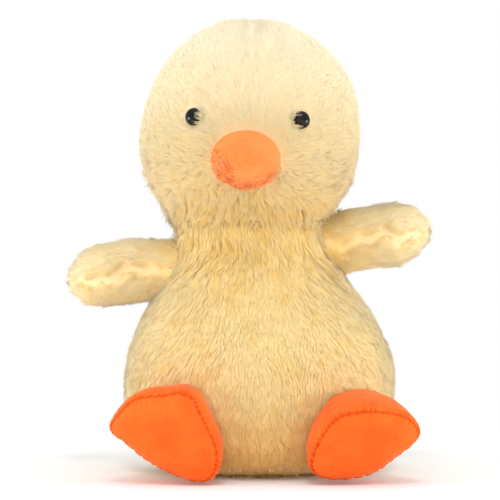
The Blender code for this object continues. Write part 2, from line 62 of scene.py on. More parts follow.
swell_places = [0, 0.025, 0.06, 0.14, 0.25, 0.352, 0.45, 0.514, 0.58, 0.644, 0.71, 0.773, 0.84, 0.9, 1]
swell_shares = [0, 0.38, 0.63, 0.87, 0.975, 1, 0.965, 0.89, 0.77, 0.64, 0.47, 0.3, 0.15, 0.05, 0]
body_lump = 0.014
body_pile_depth = 2.0 * mm
base_lift = 1.2 * mm
roll_half_width = 43.9 * mm
roll_height = 150.2 * mm
cup_rim = 41 * mm
cup_clearance = 0.5 * mm
base_rows, roll_rows, cup_rows = 60, 14, 50
head_lean = 6 * mm
head_rise = 53 * mm
head_ball = 66.6 * mm
head_pile_depth = 1.8 * mm


def drift(points, size, seed):
    """Smooth noise between about -1 and 1: the mean of nine sine waves in random directions, each
    about one size long, made 1.9 times as strong."""
    chance = np.random.default_rng(seed)
    ways = chance.normal(size=(9, 3))
    ways /= np.linalg.norm(ways, axis=1, keepdims=True)
    lengths = size * chance.uniform(0.7, 1.6, 9)
    phases = chance.uniform(0, full_turn, 9)
    waves = np.sin(points @ (ways / lengths[:, None]).T * 2 * np.pi + phases)
    return waves.mean(axis=-1) * 1.9


def eased(value, low, high):
    """A smooth step: 0 up to low, 1 from high on, and a cubic between them."""
    part = np.clip((value - low) / (high - low), 0, 1)
    return part * part * (3 - 2 * part)


def bell(value, width):
    """A smooth peak, 1 at 0 and fading over the width: e to the power of -(value / width)^2."""
    return np.exp(-(value / width) ** 2)


def join(*parts):
    """One array from an array for each column: points from coordinates, faces from corners."""
    return np.stack(parts, axis=-1)


def unit(vectors):
    """Each vector divided by its length."""
    return vectors / np.maximum(np.linalg.norm(vectors, axis=-1, keepdims=True), 1e-12)


def body_profile():
    """Half width and height from the middle of the base, up the side, over the neck's roll, which is
    part of an ellipse, and down the cup's circle. The side is the outer form, with its swell the
    mean of 17 rows, moved in by the pile's depth."""
    share = np.linspace(0, 1, 240)
    swell = np.interp(share, swell_places, swell_shares)
    smooth = np.convolve(np.pad(swell, 8, mode="edge"), np.ones(17) / 17, mode="valid")
    swell = smooth + (swell - smooth) * (share < 0.05)
    outer = join(neck_half_width + belly_swell * swell, neck_height * share)
    run = np.gradient(outer, axis=0)
    run /= np.linalg.norm(run, axis=1, keepdims=True)
    side = outer - body_pile_depth * join(run[:, 1], -run[:, 0])
    side = side[(side[:, 1] > base_lift + 2 * mm) & (side[:, 1] < neck_height - 4 * mm)]
    radius = np.linspace(0, side[0, 0] - 3 * mm, base_rows)
    base = join(radius, np.full(base_rows, base_lift))
    bend = np.radians(np.linspace(-35, 150, roll_rows))
    roll = join(roll_half_width + 1.9 * mm * np.cos(bend), roll_height + 2.2 * mm * np.sin(bend))
    cup = head_ball - head_pile_depth + cup_clearance
    radius = np.linspace(cup_rim, 0, cup_rows)
    bowl = join(radius, neck_height + head_rise - np.sqrt(cup**2 - radius**2))
    return np.concatenate([base, side, roll, bowl])


profile = body_profile()
profile_run = np.concatenate([[0], np.cumsum(np.linalg.norm(np.diff(profile, axis=0), axis=1))])
profile_share = profile_run / profile_run[-1]
rim_share = profile_share[base_rows]
roll_start = profile_share[-cup_rows - roll_rows]
roll_top = profile_share[-cup_rows - roll_rows + 6]
neck_share = profile_share[-cup_rows - 4]


def body_form(turn, share):
    """The profile's half width and height at a share, carried round an ellipse about a line that
    leans to the head: x = r sin turn, y = -r ratio cos turn, with a few soft lumps."""
    share = np.clip(share, 0, 1)
    radius = np.interp(share, profile_share, profile[:, 0])
    height = np.interp(share, profile_share, profile[:, 1])
    level = np.clip(height / neck_height, 0, 1)
    lean = level**3
    ratio = belly_ratio + (1 - belly_ratio) * lean
    x = radius * np.sin(turn)
    y = -radius * ratio * np.cos(turn)
    height = height + 0 * x
    soft = eased(share, 0.3, 0.45) * (1 - eased(share, 0.62, 0.72))
    lump = 1 + body_lump * drift(join(x, y, height), 55 * mm, 3) * soft
    return join(x * lump - head_lean * lean, y * lump, height)


def woven(name, points, faces, smooth=True):
    """A mesh object from an array of points and a list of face arrays, each of one corner count."""
    mesh = bpy.data.meshes.new(name)
    mesh.vertices.add(len(points))
    mesh.vertices.foreach_set("co", np.asarray(points, np.float32).ravel())
    corners = np.concatenate([np.asarray(part, np.int32).ravel() for part in faces])
    counts = np.concatenate([np.full(len(part), part.shape[1], np.int32) for part in faces])
    starts = np.concatenate([[0], np.cumsum(counts)[:-1]]).astype(np.int32)
    mesh.loops.add(len(corners))
    mesh.loops.foreach_set("vertex_index", corners)
    mesh.polygons.add(len(counts))
    mesh.polygons.foreach_set("loop_start", starts)
    mesh.update(calc_edges=True)
    mesh.polygons.foreach_set("use_smooth", np.full(len(counts), smooth))
    piece = bpy.data.objects.new(name, mesh)
    scene.collection.objects.link(piece)
    return piece


def closed_skin(name, form, columns, shares):
    """A closed surface: rows of points of form(turn, share) between a pole at each end."""
    turns = np.linspace(0, full_turn, columns, endpoint=False)
    rows = len(shares)
    ends = form(np.zeros(2), np.array([0.0, 1.0]))
    points = np.concatenate([form(*np.meshgrid(turns, shares)).reshape(-1, 3), ends])
    here = np.arange(rows * columns).reshape(rows, columns)
    beside = np.roll(here, -1, axis=1)
    quads = join(here[:-1], beside[:-1], beside[1:], here[1:]).reshape(-1, 4)
    start, end = len(points) - 2, len(points) - 1
    first = join(beside[0], here[0], np.full(columns, start))
    last = join(here[-1], beside[-1], np.full(columns, end))
    return woven(name, points, [quads, first, last])


def even(rows):
    """Shares of evenly spaced rows, without the two poles."""
    return np.linspace(0, 1, rows + 2)[1:-1]


def cubic_weights(part):
    """The shares of four points in a row at a place between the middle two, by Catmull and Rom."""
    square, cube = part * part, part * part * part
    return (square - (part + cube) / 2, 1 - 2.5 * square + 1.5 * cube,
            part / 2 + 2 * square - 1.5 * cube, (cube - square) / 2)


def stuffed(name, form, columns, rows, held, cap, slack=0.02, calm=np.ones_like, settle=1.0):
    """Blows a cover up from inside as simulated cloth, and returns the form with the cloth's move
    added. The cloth is cut larger by the slack, so it puckers along the seams that hold it, and is
    simulated twelve times as large, which suits the solver. The move is capped, and calm gives the
    share of it that is kept. The mean swelling is taken off by the share settle, so that the piece
    keeps its size, and the move is evened out between neighbours twice."""
    large = 12
    turns, shares = np.meshgrid(np.linspace(0, full_turn, columns, endpoint=False), even(rows))
    cover = closed_skin(name, lambda turn, share: form(turn, share) * large, columns, even(rows))
    fast = np.flatnonzero(np.concatenate([held(turns, shares).ravel(), [True, True]]))
    cover.vertex_groups.new(name="held").add(fast.tolist(), 1.0, "REPLACE")
    cloth = cover.modifiers.new("stuffing", "CLOTH").settings
    cloth.vertex_group_mass = "held"
    cloth.use_pressure = True
    cloth.uniform_pressure_force = 4.0
    cloth.shrink_min = -slack
    cloth.effector_weights.gravity = 0
    for step in range(1, 21):
        scene.frame_set(step)
    blown = cover.evaluated_get(bpy.context.evaluated_depsgraph_get()).data
    start, end, normals = (np.empty(len(cover.data.vertices) * 3, np.float32) for _ in range(3))
    cover.data.vertices.foreach_get("co", start)
    cover.data.vertices.foreach_get("normal", normals)
    blown.vertices.foreach_get("co", end)
    move = (end - start).reshape(-1, 3) / large
    normals = normals.reshape(-1, 3)
    far = np.linalg.norm(move, axis=1, keepdims=True)
    print(f"{name} cloth moved {far.mean() / mm:.2f} mm, at most {far.max() / mm:.2f}")
    move *= cap / np.maximum(far, cap)
    move[:-2] *= calm(shares).ravel()[:, None]
    move -= settle * normals * (move * normals).sum(axis=1).mean()
    bpy.data.objects.remove(cover)
    scene.frame_set(1)
    first, last = (np.tile(pole, (1, columns, 1)) for pole in move[-2:])
    grid = np.concatenate([first, move[:-2].reshape(rows, columns, 3), last])
    for _ in range(2):
        grid = (2 * grid + np.roll(grid, 1, axis=1) + np.roll(grid, -1, axis=1)) / 4
        grid[1:-1] = (2 * grid[1:-1] + grid[:-2] + grid[2:]) / 4

    def moved(turn, share):
        """The form, and the move between the sixteen nearest points of the cover."""
        down, across = np.clip(share, 0, 1) * (rows + 1), np.asarray(turn) / full_turn * columns
        row, column = np.floor(down).astype(int), np.floor(across).astype(int)
        row_weights, column_weights = cubic_weights(down - row), cubic_weights(across - column)
        total = form(turn, share)
        for i in range(4):
            for j in range(4):
                near = grid[np.clip(row + i - 1, 0, rows + 1), (column + j - 1) % columns]
                total += (row_weights[i] * column_weights[j])[..., None] * near
        return total

    return moved


def scatter(form, turn_span, share_span, count, seed):
    """Places spread evenly over a surface, and how it lies there: the cells of a fine grid are drawn
    by their area, with each drawn place at a random point of its cell."""
    chance = np.random.default_rng(seed)
    columns, rows = 180, 140
    turns = np.linspace(*turn_span, columns + 1)
    shares = np.linspace(*share_span, rows + 1)
    corner = form(*np.meshgrid(turns, shares))
    across = corner[:-1, 1:] - corner[:-1, :-1]
    along = corner[1:, :-1] - corner[:-1, :-1]
    area = np.linalg.norm(np.cross(across, along), axis=-1).ravel()
    pick = (np.arange(count) + chance.random(count)) / count
    cell = np.minimum(np.searchsorted(np.cumsum(area) / area.sum(), pick), len(area) - 1)
    row, column = np.divmod(chance.permutation(cell), columns)
    turn = turns[column] + chance.random(count) * (turns[1] - turns[0])
    share = shares[row] + chance.random(count) * (shares[1] - shares[0])
    return turn, share, *lie_of(form, turn, share)


def lie_of(form, turn, share):
    """The point, the outward normal and the way of rising share at each place of a surface, from
    the form's differences over a small step."""
    step = 5e-4
    across = form(turn + step, share) - form(turn - step, share)
    along = form(turn, share + step) - form(turn, share - step)
    return form(turn, share), unit(np.cross(across, along)), unit(along)


def grow(name, points, normals, flow, length, seed, slope, ruffle=0.0, width=0.21 * mm, lock=16, painted_shade=0.0):
    """A pile of strands, each a slender closed blade with four corners: its root, its tip and two
    side by side at its bend. It rises to the bend, 7 degrees steeper than the slope, and lies down
    along the flow from there. The strands nearest to one drawn strand form a lock, which share
    their lean and shade and draw their tips together. Ruffle, from 0 to 1, turns the locks about.
    Painted shade takes the strands to the deeper colour, as a painted shadow in a seam's crease."""
    chance = np.random.default_rng(seed)
    count, batch = len(points), 4000
    heads = count // lock
    lead = np.empty(count, int)
    drawn = points[:heads]
    for start in range(0, count, batch):
        reached = (drawn**2).sum(axis=1) - 2 * points[start:start + batch] @ drawn.T
        lead[start:start + batch] = reached.argmin(axis=1)
    lock_lean, lock_reach, lock_lift, _, lock_shade = chance.normal(size=(5, heads))[:, lead]
    own_lean, own_lift, _, own_shade = chance.normal(size=(4, count))
    tuft = drift(points, 12 * mm, seed + 2)
    swirl = drift(points, 30 * mm, seed + 1)
    curl = drift(points, 10 * mm, seed + 3)

    lean = (4 + 20 * ruffle) * lock_lean + 8 * own_lean
    lean = np.radians(lean + (14 + 26 * ruffle) * swirl + (6 + 26 * ruffle) * curl)[:, None]
    flow = unit(flow - normals * (flow * normals).sum(axis=-1, keepdims=True))
    flow = flow * np.cos(lean) + np.cross(normals, flow) * np.sin(lean)
    beside = np.cross(normals, flow)
    reach = (length * (1 + 0.09 * lock_reach) * chance.uniform(0.75, 1.12, count))[:, None]
    flat = slope + 10 * ruffle + (2 + 6 * ruffle) * lock_lift + 3 * own_lift + (2 + 8 * ruffle) * tuft
    steep, flat = np.radians(flat + 7)[:, None], np.radians(flat)[:, None]
    root = points - 0.3 * mm * normals
    bend = root + 0.45 * reach * (flow * np.cos(steep) + normals * np.sin(steep))
    tip = bend + 0.55 * reach * (flow * np.cos(flat) + normals * np.sin(flat))
    pull = ((0.05 + 0.35 * ruffle) * chance.uniform(0.4, 1.2, count))[:, None]
    bend += 0.3 * pull * (bend[lead] - bend)
    tip += pull * (tip[lead] - tip)
    broad = beside * (width * chance.uniform(0.7, 1.3, count))[:, None]
    blade = np.stack([root, bend - broad, bend + broad, tip], axis=1)
    corner = (np.arange(count) * 4)[:, None, None]
    sides = np.array([[0, 1, 2], [1, 3, 2], [0, 3, 1], [0, 2, 3]])
    piece = woven(name, blade.reshape(-1, 3), [(corner + sides).reshape(-1, 3)])

    forwards = (0.07 * tuft + (0.02 + 0.10 * ruffle) * lock_lift)[:, None] * flow
    sideways = ((0.02 + 0.10 * ruffle) * lock_lean + 0.05 * curl)[:, None] * beside
    lit = (normals + forwards + sideways)[:, None] + np.stack(
        [-0.06 * flow, -0.08 * beside, 0.08 * beside, 0.08 * flow], axis=1)
    piece.data.normals_split_custom_set_from_vertices(unit(lit).reshape(-1, 3))
    # The strand's shade is random by lock, strand and tuft, less the painted shade of a seam's crease.
    shade = 0.5 * lock_shade + 0.35 * own_shade + 0.5 * tuft - painted_shade
    # Painted shade deep in the pile: the root and bend of each strand are darker, the more so where the
    # pile is ruffled.
    root_shade = np.broadcast_to(0.25 + 0.65 * ruffle, count)[:, None] * [1.0, 0.5, 0.5, 0.0]
    for label, values in (("lit_along_strand", 1 - root_shade.ravel()), ("strand_shade", np.repeat(shade, 4))):
        attribute = piece.data.attributes.new(label, "FLOAT", "POINT")
        attribute.data.foreach_set("value", values.astype(np.float32))
    return piece


class Value:
    """A socket of a material. Arithmetic on it adds the Math nodes that work it out."""

    def __init__(self, tree, socket=None):
        self.tree = tree
        self.socket = socket

    def node(self, kind, inputs=None, output=0, **settings):
        """Adds a node and returns one of its outputs. It is set first, and then gets its inputs."""
        made = self.tree.nodes.new("ShaderNode" + kind)
        for name, setting in settings.items():
            setattr(made, name, setting)
        for name, value in (inputs or {}).items():
            if isinstance(value, Value):
                self.tree.links.new(value.socket, made.inputs[name])
            else:
                made.inputs[name].default_value = value
        return Value(self.tree, made.outputs[output])

    def maths(self, operation, first, second, clamp=False):
        """A Math node on two values, which may also keep its result between 0 and 1."""
        return self.node("Math", {0: first, 1: second}, operation=operation, use_clamp=clamp)

    def size(self):
        """The value without its sign."""
        return self.maths("ABSOLUTE", self, 0.0)

    def __add__(self, other):
        return self.maths("ADD", self, other)

    __radd__ = __add__

    def __sub__(self, other):
        return self.maths("SUBTRACT", self, other)

    def __rsub__(self, other):
        return self.maths("SUBTRACT", other, self)

    def __mul__(self, other):
        return self.maths("MULTIPLY", self, other)

    __rmul__ = __mul__

    def within(self, low, high):
        """0 on the side of low and 1 on the side of high, with an even rise between."""
        return self.maths("MULTIPLY", self - low, 1 / (high - low), clamp=True)

    def mix(self, first, second):
        """The first colour where this value is 0 and the second where it is 1."""
        return self.node("Mix", {0: self, 6: first, 7: second}, output=2, data_type="RGBA")


def start_material(name, roughness, **constants):
    """A new material with the constants set on its shader, and the Value of the place on a piece."""
    finish = bpy.data.materials.new(name)
    finish.use_nodes = True
    inputs = finish.node_tree.nodes["Principled BSDF"].inputs
    inputs["Roughness"].default_value = roughness
    for label, constant in constants.items():
        inputs[label.replace("_", " ")].default_value = constant
    return finish, Value(finish.node_tree).node("TexCoord", output=3)


def link(finish, label, value):
    """Feeds a value to one of the inputs of a material's shader."""
    value.tree.links.new(value.socket, finish.node_tree.nodes["Principled BSDF"].inputs[label])


def noise(place, scale, detail=2.0, roughness=0.5):
    """Cloudy noise from 0 to 1 with about as many clouds to the metre as the scale says."""
    return place.node("TexNoise", {
        "Vector": place, "Scale": scale, "Detail": detail, "Roughness": roughness})


def bump(finish, height, strength, depth):
    """Tilts a material's normal as a relief of that height and depth would."""
    link(finish, "Normal", height.node("Bump", {
        "Strength": strength, "Distance": depth, "Height": height}))


def strand_values(place):
    """The two numbers that each corner of a strand carries: its light, less towards the root as painted
    shade deep in the pile, and its shade.
    """
    return [place.node("Attribute", output=2, attribute_name=label)
            for label in ("lit_along_strand", "strand_shade")]


def tint(red, green, blue):
    """A colour of 0 to 255, as screens count it, in the linear light that shaders take."""
    part = np.array([red, green, blue]) / 255
    light = np.where(part > 0.04045, ((part + 0.055) / 1.055) ** 2.4, part / 12.92)
    return (*light.tolist(), 1.0)


# Pile colours. Pale yellow high up and warm yellow low down are painted light and painted shade by height.
# Cream is the wings' colour and the sheen's tint, and painted light on the crown. Straw is random flecks
# and a painted shadow under the chin. The cheek colour is painted shade. Deep yellow is painted shade deep
# in the pile and in seams, and random shade. Shaded gold is painted shade low on the body.
cream = tint(248, 238, 210)
pale_yellow = tint(246, 221, 167)
warm_yellow = tint(255, 226, 156)
straw = tint(252, 209, 120)
cheek_shade_tan = tint(216, 194, 148)
deep_yellow = tint(252, 206, 120)
shaded_gold = tint(255, 194, 104)


def plush_colour(place, along, shade):
    """The tips go from pale yellow high up to warm yellow low down, as painted light and painted shade
    by height, with random blotches and flecks of straw. Bands of height cover them: a painted shadow
    of straw under the chin, painted shade on each cheek, painted light of cream on the crown, cream
    wings, and painted shade of gold low on the body. Roots go to deep yellow as painted shade deep in
    the pile, and so do strands of low shade, from random shade and from a seam's painted shadow."""
    height = place.node("SeparateXYZ", {0: place}, output=2)
    across = place.node("SeparateXYZ", {0: place}, output=0).size()
    blotch = noise(place, 40.0)
    fleck = noise(place, 105.0, 1.0)
    # Painted light and shade by height: paler high up where the overhead light falls, warmer low down in
    # shade, mixed with random blotches.
    height_light_and_blotch = (height.within(0.235, 0.03) * 0.75 + blotch.within(0.4, 0.7) * 0.35).within(0.0, 1.0)
    flecked = fleck.within(0.52, 0.72) * 0.45
    # Painted shadow under the chin, where the head overhangs the body, flecked at random.
    neck = height.within(0.095, 0.135) * height.within(0.185, 0.155) * across.within(0.056, 0.044)
    neck = neck * (fleck.within(0.40, 0.62) * 0.5 + 0.4)
    wings = height.within(0.095, 0.11) * across.within(0.055, 0.075) * 0.3
    # Painted shade on each cheek, below the light that falls on the crown.
    cheek_shade = height.within(0.150, 0.185) * height.within(0.240, 0.210) * 0.7
    # Painted light on the crown, where the light from above falls.
    crown = height.within(0.20, 0.262) * 0.9
    # Painted shade, warm and golden, low on the body near the floor.
    foot = height.within(0.046, 0.008) * 0.9
    tips = height_light_and_blotch.mix(pale_yellow, warm_yellow)
    for cover, colour in ((flecked, straw), (neck, straw), (wings, cream), (cheek_shade, cheek_shade_tan),
                          (crown, cream), (foot, shaded_gold)):
        tips = cover.mix(tips, colour)
    # Painted shade deep in the pile: towards the roots, and where the shade is low, the colour goes to
    # deep yellow.
    bright = (along * 0.85 + shade * 0.10 + 0.15).within(0.0, 1.0)
    return bright.mix(deep_yellow, tips)


pile_finish, pile_place = start_material(
    "pale yellow plush pile", 0.9, Sheen_Weight=1.0, Sheen_Roughness=0.5, Sheen_Tint=cream,
    Specular_IOR_Level=0.2)
link(pile_finish, "Base Color", plush_colour(pile_place, *strand_values(pile_place)))

cloth_finish, cloth_place = start_material(
    "knitted plush backing", 0.95, Sheen_Weight=0.2, Specular_IOR_Level=0.1)
knit = noise(cloth_place, 900.0)
# The backing carries the pile's painted light and shade by height, with knit noise in place of the
# strands' light.
link(cloth_finish, "Base Color", plush_colour(cloth_place, knit * 0.3 + 0.7, knit))
bump(cloth_finish, knit, 0.5, 0.8 * mm)


def dress(piece, finish, body=None, stands_for=()):
    """Gives a piece its material and slot, its body, and the CAD nodes that it stands for."""
    piece.data.materials.append(finish)
    if body:
        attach(piece, body)
    if stands_for:
        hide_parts(*stands_for)


side_seam = math.radians(80)


def held_body(turn, share):
    """The base, the neck and the cup are held, and so are the side seams and the back seam."""
    off_front = np.abs((turn + np.pi) % full_turn - np.pi)
    side = np.abs(off_front - side_seam) < 0.03
    back = np.abs(turn - np.pi) < 0.03
    return side | back | (share < rim_share * 1.1) | (share > neck_share - 0.03)


body_form = stuffed("body_cover", body_form, 90, 70, held_body, cap=0.9 * mm, slack=0.01)
body_cloth = closed_skin("body_cloth", body_form, 160, even(220))
dress(body_cloth, cloth_finish, "torso", (
    "body_front_panel", "body_back_left_panel", "body_back_right_panel", "base_panel"))

body_strand = 8.4 * mm
body_piles = {
    "body_front_pile": ((-side_seam, side_seam), 46000, 11),
    "body_back_right_pile": ((side_seam, math.pi), 28000, 12),
    "body_back_left_pile": ((math.pi, full_turn - side_seam), 28000, 13),
}
for pile_name, (span, strands, seed) in body_piles.items():
    _, share, points, normals, way = scatter(body_form, span, (rim_share * 0.9, neck_share), strands, seed)
    x, y, z = points.T
    low = 1 - eased(z, 4 * mm, 20 * mm)
    chest = eased(z, 112 * mm, 135 * mm) * (1 - 0.9 * eased(z, 136 * mm, 149 * mm))
    belly = (1 - eased(z, 25 * mm, 70 * mm)) * eased(-y, 20 * mm, 55 * mm)
    flank = eased(np.abs(x), 20 * mm, 60 * mm) * (1 - eased(y, 5 * mm, 45 * mm))
    on_roll = eased(share, roll_start, roll_top)
    outwards = unit(points * [1, 1, 0])
    flow = -way * (1 - 0.3 * low)[:, None] + outwards * (0.5 * low)[:, None]
    flow += [0, 0.6, 0] * flank[:, None]
    ruffle = (0.08 + 0.5 * chest + 0.45 * belly) * (1 - low) * (1 - 0.6 * flank)
    length = body_strand + 0.9 * mm * drift(points, 60 * mm, 21)
    length = length * (1 - 0.5 * low) * (1 - 0.4 * on_roll)
    pile = grow(pile_name, points, normals, flow, length, seed, 8 - 37 * on_roll, ruffle)
    dress(pile, pile_finish, "torso")

base_strands, base_strand = 7000, 7 * mm
_, _, points, normals, way = scatter(
    body_form, (0, full_turn), (0.004, rim_share * 0.93), base_strands, 14)
base_pile = grow("base_pile", points, normals, way, np.full(base_strands, base_strand), 14, slope=0.0)
dress(base_pile, pile_finish, "torso")

# Head
# A ball of the same plush, from two face panels that meet down the middle of the forehead and one
# back panel. It is stuffed firm, and sits in the cup of the body on the gathered neck seam.
head_centre = np.array([-head_lean, 0, neck_height + head_rise])
head_crown = 71.4 * mm
head_strand = 6.2 * mm
eye_spread = 32.3 * mm
eye_height = 11.0 * mm
eye_dent = 1.6 * mm
forehead_groove = 0.4 * mm
eye_front = math.sqrt(1 - (eye_spread / head_ball) ** 2 - (eye_height / head_crown) ** 2)
eye_places = {side: np.array([sign * eye_spread, -head_ball * eye_front, eye_height])
              for side, sign in (("left", -1), ("right", 1))}
beak_centre = np.array([0, -64 * mm, -15 * mm])
beak_half_width = 20.6 * mm
beak_half_height = 17.0 * mm
beak_drop = 13.0 * mm
quarter = math.pi / 2
tilt, yaw = math.radians(1.7), math.radians(-1.8)


def spin(axis, angle):
    """The matrix that turns points by the angle about axis 0, 1 or 2, which are x, y and z."""
    first, second = (axis + 1) % 3, (axis + 2) % 3
    matrix = np.eye(3)
    matrix[first, first] = matrix[second, second] = math.cos(angle)
    matrix[second, first], matrix[first, second] = math.sin(angle), -math.sin(angle)
    return matrix


head_turned = spin(2, yaw) @ spin(1, tilt)


def on_head(points):
    """Points given from the head's centre, turned and tilted as the head is held."""
    return points @ head_turned.T + head_centre


def head_local(turn, share):
    """A ball below its middle and a taller half ellipsoid above, from the lowest point up:
    x = r sin turn sin a, y = -r cos turn sin a, z = -r cos a, with a = pi share. Two dents take
    the eyes, a shallow groove runs down the forehead, and the form is drawn in a little above the
    cup. It is fuller round the crown and high on its right side."""
    up = np.pi * np.clip(share, 0, 1)
    around = (head_ball - head_pile_depth) * np.sin(up)
    upright = np.where(share > 0.5, head_crown, head_ball) - head_pile_depth
    place = join(around * np.sin(turn), -around * np.cos(turn), -upright * np.cos(up))
    x, y, z = place[..., 0], place[..., 1], place[..., 2]
    inwards = 0 * up
    for eye in eye_places.values():
        away = ((place - eye * 0.94) ** 2).sum(axis=-1)
        inwards += eye_dent * np.exp(-away / (8.5 * mm) ** 2)
    forehead = eased(-y, 5 * mm, 30 * mm) * eased(z, 10 * mm, 26 * mm)
    inwards += forehead_groove * bell(x, 2.4 * mm) * forehead
    inwards += 0.6 * mm * drift(place, 60 * mm, 5) * eased(share, 0.45, 0.6)
    under = eased(-z, 26 * mm, 40 * mm) * (1 - eased(-z, 43 * mm, 49 * mm))
    inwards += 1.5 * mm * under
    high_right = bell(z - 40 * mm, 22 * mm) * eased(x, 10 * mm, 45 * mm)
    crown = bell(around - 17 * mm, 8 * mm) * (z > 0)
    inwards = inwards - 2.2 * mm * high_right - 0.9 * mm * crown
    return place * (1 - inwards / head_ball)[..., None]


def head_form(turn, share):
    """The head's surface in its place on the body."""
    return on_head(head_local(turn, share))


def nearest_eye(places, depth):
    """The distance to the nearer eye, whose middle is taken that share of the way out."""
    return np.min([np.linalg.norm(places - eye * depth, axis=-1) for eye in eye_places.values()], axis=0)


def held_head(turn, share):
    """The part in the cup, the cloth round the eyes and beak, and the three seams are held."""
    place = head_local(turn, share)
    eyes = nearest_eye(place, 1) < 7 * mm
    beak = np.linalg.norm(place - beak_centre, axis=-1) < 20 * mm
    off_seam = np.min([np.abs(np.sin((turn - seam) / 2)) for seam in (0, quarter, -quarter)], axis=0)
    return eyes | beak | (off_seam < 0.02) | (share < 0.22) | (share > 0.97)


head_form = stuffed("head_cover", head_form, 88, 60, held_head, cap=0.8 * mm, slack=0.01)
head_cloth = closed_skin("head_cloth", head_form, 200, even(150))
dress(head_cloth, cloth_finish, "head", (
    "head_face_left_panel", "head_face_right_panel", "head_back_panel"))

head_piles = {
    "head_face_left_pile": ((-quarter, 0), 32000, 31),
    "head_face_right_pile": ((0, quarter), 32000, 32),
    "head_back_pile": ((quarter, 3 * quarter), 46000, 33),
}
for pile_name, (span, strands, seed) in head_piles.items():
    _, share, points, normals, _ = scatter(head_form, span, (0.16, 0.9995), strands, seed)
    local = (points - head_centre) @ head_turned
    beak_reach = np.hypot(local[:, 0] / beak_half_width, (local[:, 2] + beak_drop) / beak_half_height)
    eye_gap = nearest_eye(local, 0.96)
    kept = ((beak_reach > 0.95) | (local[:, 1] > 0)) & (eye_gap > 5.2 * mm)
    points, normals, local, share = points[kept], normals[kept], local[kept], share[kept]
    eye_gap, beak_reach = eye_gap[kept], beak_reach[kept]
    x, y, z = local.T
    behind = eased(y, -30 * mm, 30 * mm)
    below = 1 - eased(z, -46 * mm, -26 * mm)
    cheek = 1 - eased(z, -30 * mm, 8 * mm)
    in_cup = 1 - eased(share + 0.012 * drift(points, 14 * mm, 35), 0.19, 0.245)
    to_eye = unit(np.where(local[:, :1] < 0, eye_places["left"], eye_places["right"]) - local)
    over_eye = unit(local - [0, -62 * mm, 4 * mm])
    lash = eased((to_eye * over_eye).sum(axis=1), 0.66, 0.9) * (1 - eased(eye_gap, 7.4 * mm, 8.6 * mm))

    flow = unit(local - beak_centre) * ((1 - 0.75 * behind) * (1 - 0.6 * below))[:, None]
    flow += [0, 0, -1] * (0.8 * behind + 0.7 * below)[:, None]
    flow += (over_eye - flow) * lash[:, None]
    parting = np.sign(x) * bell(x, 5 * mm)
    flow[:, 0] += 0.25 * parting * eased(z, 12 * mm, 25 * mm) * eased(-y, 0, 15 * mm)
    length = head_strand + (2.0 * cheek + 1.6 * below + 0.5 * drift(points, 50 * mm, 22)) * mm
    length *= 1 + 0.3 * below * drift(points, 11 * mm, 24)
    short = eased(eye_gap, 4 * mm, 15 * mm) * eased(beak_reach, 0.9, 1.35)
    length = length * (0.7 + 0.3 * short) * (1 - 0.4 * in_cup)
    length = length * (1 - lash) + 6.8 * mm * lash
    ruffle = 0.05 + 0.6 * cheek * eased(-y, -10 * mm, 20 * mm)
    ruffle = (ruffle + 0.25 * below * (ruffle < 0.4)) * (1 - in_cup)
    slope = 5 + 4 * cheek + 22 * below - 30 * in_cup + 44 * lash
    pile = grow(pile_name, points, normals, flow @ head_turned.T, length, seed, slope, ruffle)
    dress(pile, pile_finish, "head")

# Eyes
# Domed safety eyes of glossy black plastic. Each sits in a dent of the face on a shank that goes
# through the cloth to its washer.
eye_radius = 5.25 * mm
eye_dome = 4.2 * mm
eye_proud = 1.9 * mm
eye_black = (0.003, 0.0025, 0.0025, 1)
eye_brown = (0.009, 0.0065, 0.0055, 1)

eye_finish, eye_place = start_material("glossy black plastic", 0.06, Specular_IOR_Level=0.22)
link(eye_finish, "Base Color", noise(eye_place, 300.0).within(0.3, 0.8).mix(eye_black, eye_brown))
link(eye_finish, "Roughness", noise(eye_place, 1200.0) * 0.06 + 0.03)


def eye_form(side, turn, share):
    """A low dome with a rounded rim on a flat back, about the line out of the face: radius and
    height are those of an ellipse from the rim to the top."""
    eye = eye_places[side]
    out = unit(eye / np.array([head_ball**2, head_ball**2, head_crown**2]))
    across = unit(np.cross([0, 0, 1], out))
    up = np.cross(out, across)
    rim, rim_lift = 0.3, 0.16

    lift = np.interp(share, [0, rim, rim + 0.1, 1], [0, 0, rim_lift, quarter])
    dome = np.cos(np.maximum(lift - rim_lift, 0) * 1.1 * 0.995)
    radius = np.where(share < rim, share / rim * 0.97, dome)
    radius = np.where(share >= 1, 0, radius) * eye_radius
    height = eye_proud - eye_dome + eye_dome * np.sin(lift)
    spoke = np.cos(turn)[..., None] * across + np.sin(turn)[..., None] * up
    return on_head(eye + spoke * radius[..., None] + out * height[..., None])


for side in eye_places:
    button = closed_skin(f"eye_{side}_button", functools.partial(eye_form, side), 48, even(40))
    dress(button, eye_finish, "head", (f"eye_{side}",))

# Beak
# A stubby cone of orange velour with a seam along both sides, as a closed mouth. It is stuffed and
# sewn onto the face, and the face's pile laps its edge. Under its tip the nap is longer.
beak_tip = -92.0 * mm
beak_tip_drop = 9.5 * mm


